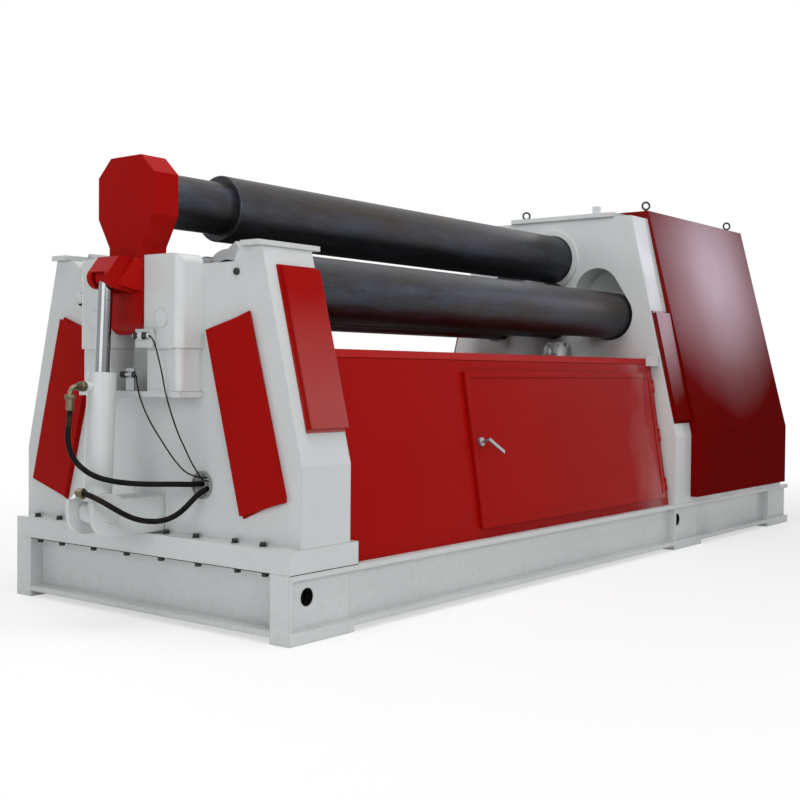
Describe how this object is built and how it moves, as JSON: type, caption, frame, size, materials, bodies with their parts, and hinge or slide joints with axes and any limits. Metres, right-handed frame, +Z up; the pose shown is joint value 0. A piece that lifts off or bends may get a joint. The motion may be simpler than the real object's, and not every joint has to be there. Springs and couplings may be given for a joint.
{
  "type": "plate rolling machine",
  "caption": "Four-roll hydraulic plate rolling machine with a tilting drop-end housing, inclined side rolls, front cabinet and covered drive end on a beam base.",
  "frame": {"origin": "bottom centre of the base frame, on the floor", "axes": "+X along the rolls from the drop end to the drive end, +Y to the rear, +Z up; the operator stands at -Y"},
  "size_m": [6.4378, 2.1, 2.4559],
  "materials": {
    "machine_white": "gloss enamel",
    "machine_red": "gloss enamel",
    "roll_steel": "oiled, ground",
    "machined_steel": "turned",
    "dark_steel": "blackened",
    "rod_chrome": "hard chrome",
    "fitting_brass": "dull",
    "line_rubber": "satin"
  },
  "bodies": {
    "frame": {"base_boxes": "machine_white", "base_rails": "machine_white", "end_beams": "machine_white", "cross_members": "machine_white", "drop_foot_plate": "machine_white", "drop_end_stand": "machine_white", "drop_caps": "machine_white", "ears": "machine_white", "ear_ledge": "machine_white", "cylinder_bracket": "machine_white", "drive_end_stand": "machine_white", "drive_cap": "machine_white", "drive_plinth": "machine_white", "slope_covers": "machine_red", "face_covers": "machine_red", "drive_side_covers": "machine_red", "drive_cover": "machine_red", "cabinet_front": "machine_red", "cabinet_top_plate": "machine_red", "cabinet_walls": "machine_red", "rear_housing": "machine_red", "door_hinges": "machine_red", "tilt_pin": "machined_steel", "lift_cylinder": "machined_steel", "sensor_plate": "machined_steel", "limit_sensor": "machined_steel", "lifting_eyes": "dark_steel", "line_gland": "dark_steel", "sensor_cable": "line_rubber", "limit_cable": "line_rubber"},
    "top_roll": {"top_roll": "roll_steel"},
    "bottom_carriage": {"bottom_blocks": "machined_steel"},
    "bottom_roll": {"bottom_roll": "roll_steel"},
    "front_carriage": {"front_blocks": "machined_steel"},
    "front_roll": {"front_roll": "roll_steel"},
    "rear_carriage": {"rear_blocks": "machined_steel"},
    "rear_roll": {"rear_roll": "roll_steel"},
    "drop_housing": {"bearing_housing": "machine_red"},
    "cylinder": {"cylinder_barrel": "machine_white", "hose_fittings": "fitting_brass", "upper_hose": "line_rubber", "lower_hose": "line_rubber"},
    "rod": {"piston_rod": "rod_chrome"},
    "cabinet_door": {"cabinet_door": "machine_red"},
    "door_handle": {"door_handle": "machined_steel"}
  },
  "joints": [
    {"name": "top_roll_spin", "type": "hinge", "parent": "frame", "child": "top_roll", "pos_m": [0, 0, 2.043], "axis": [1, 0, 0], "continuous": true},
    {"name": "bottom_roll_lift", "type": "slide", "parent": "frame", "child": "bottom_carriage", "axis": [0, 0, 1], "range_m": [0, 0.07]},
    {"name": "bottom_roll_spin", "type": "hinge", "parent": "bottom_carriage", "child": "bottom_roll", "pos_m": [0, 0, 1.63], "axis": [1, 0, 0], "continuous": true},
    {"name": "front_roll_lift", "type": "slide", "parent": "frame", "child": "front_carriage", "axis": [0, 0.5446, 0.8387], "range_m": [0, 0.19]},
    {"name": "front_roll_spin", "type": "hinge", "parent": "front_carriage", "child": "front_roll", "pos_m": [0, -0.48, 1.626], "axis": [1, 0, 0], "continuous": true},
    {"name": "rear_roll_lift", "type": "slide", "parent": "frame", "child": "rear_carriage", "axis": [0, -0.5446, 0.8387], "range_m": [0, 0.19]},
    {"name": "rear_roll_spin", "type": "hinge", "parent": "rear_carriage", "child": "rear_roll", "pos_m": [0, 0.48, 1.626], "axis": [1, 0, 0], "continuous": true},
    {"name": "housing_tilt", "type": "hinge", "parent": "frame", "child": "drop_housing", "pos_m": [-2.802, 0, 1.45], "axis": [0, -1, 0], "range_deg": [0, 60]},
    {"name": "cylinder_swing", "type": "hinge", "parent": "frame", "child": "cylinder", "pos_m": [-3.042, 0, 0.53], "axis": [0, -1, 0], "range_deg": [0, 4]},
    {"name": "rod_stroke", "type": "slide", "parent": "cylinder", "child": "rod", "axis": [0.045, 0, 0.999], "range_m": [-0.28, 0]},
    {"name": "cabinet_door_hinge", "type": "hinge", "parent": "frame", "child": "cabinet_door", "pos_m": [1.022, -0.95997, 0.36358], "axis": [0, 0.157, 0.9876], "range_deg": [0, 100]},
    {"name": "door_handle_turn", "type": "hinge", "parent": "cabinet_door", "child": "door_handle", "pos_m": [-1.162, -0.87203, 0.82752], "axis": [0, -0.9876, 0.157], "range_deg": [0, 90]}
  ],
  "couplings": [
    {"joint": "cylinder_swing", "follows": "housing_tilt", "ratio": 0.06493},
    {"joint": "rod_stroke", "follows": "housing_tilt", "m_per_rad": -0.24871}
  ]
}
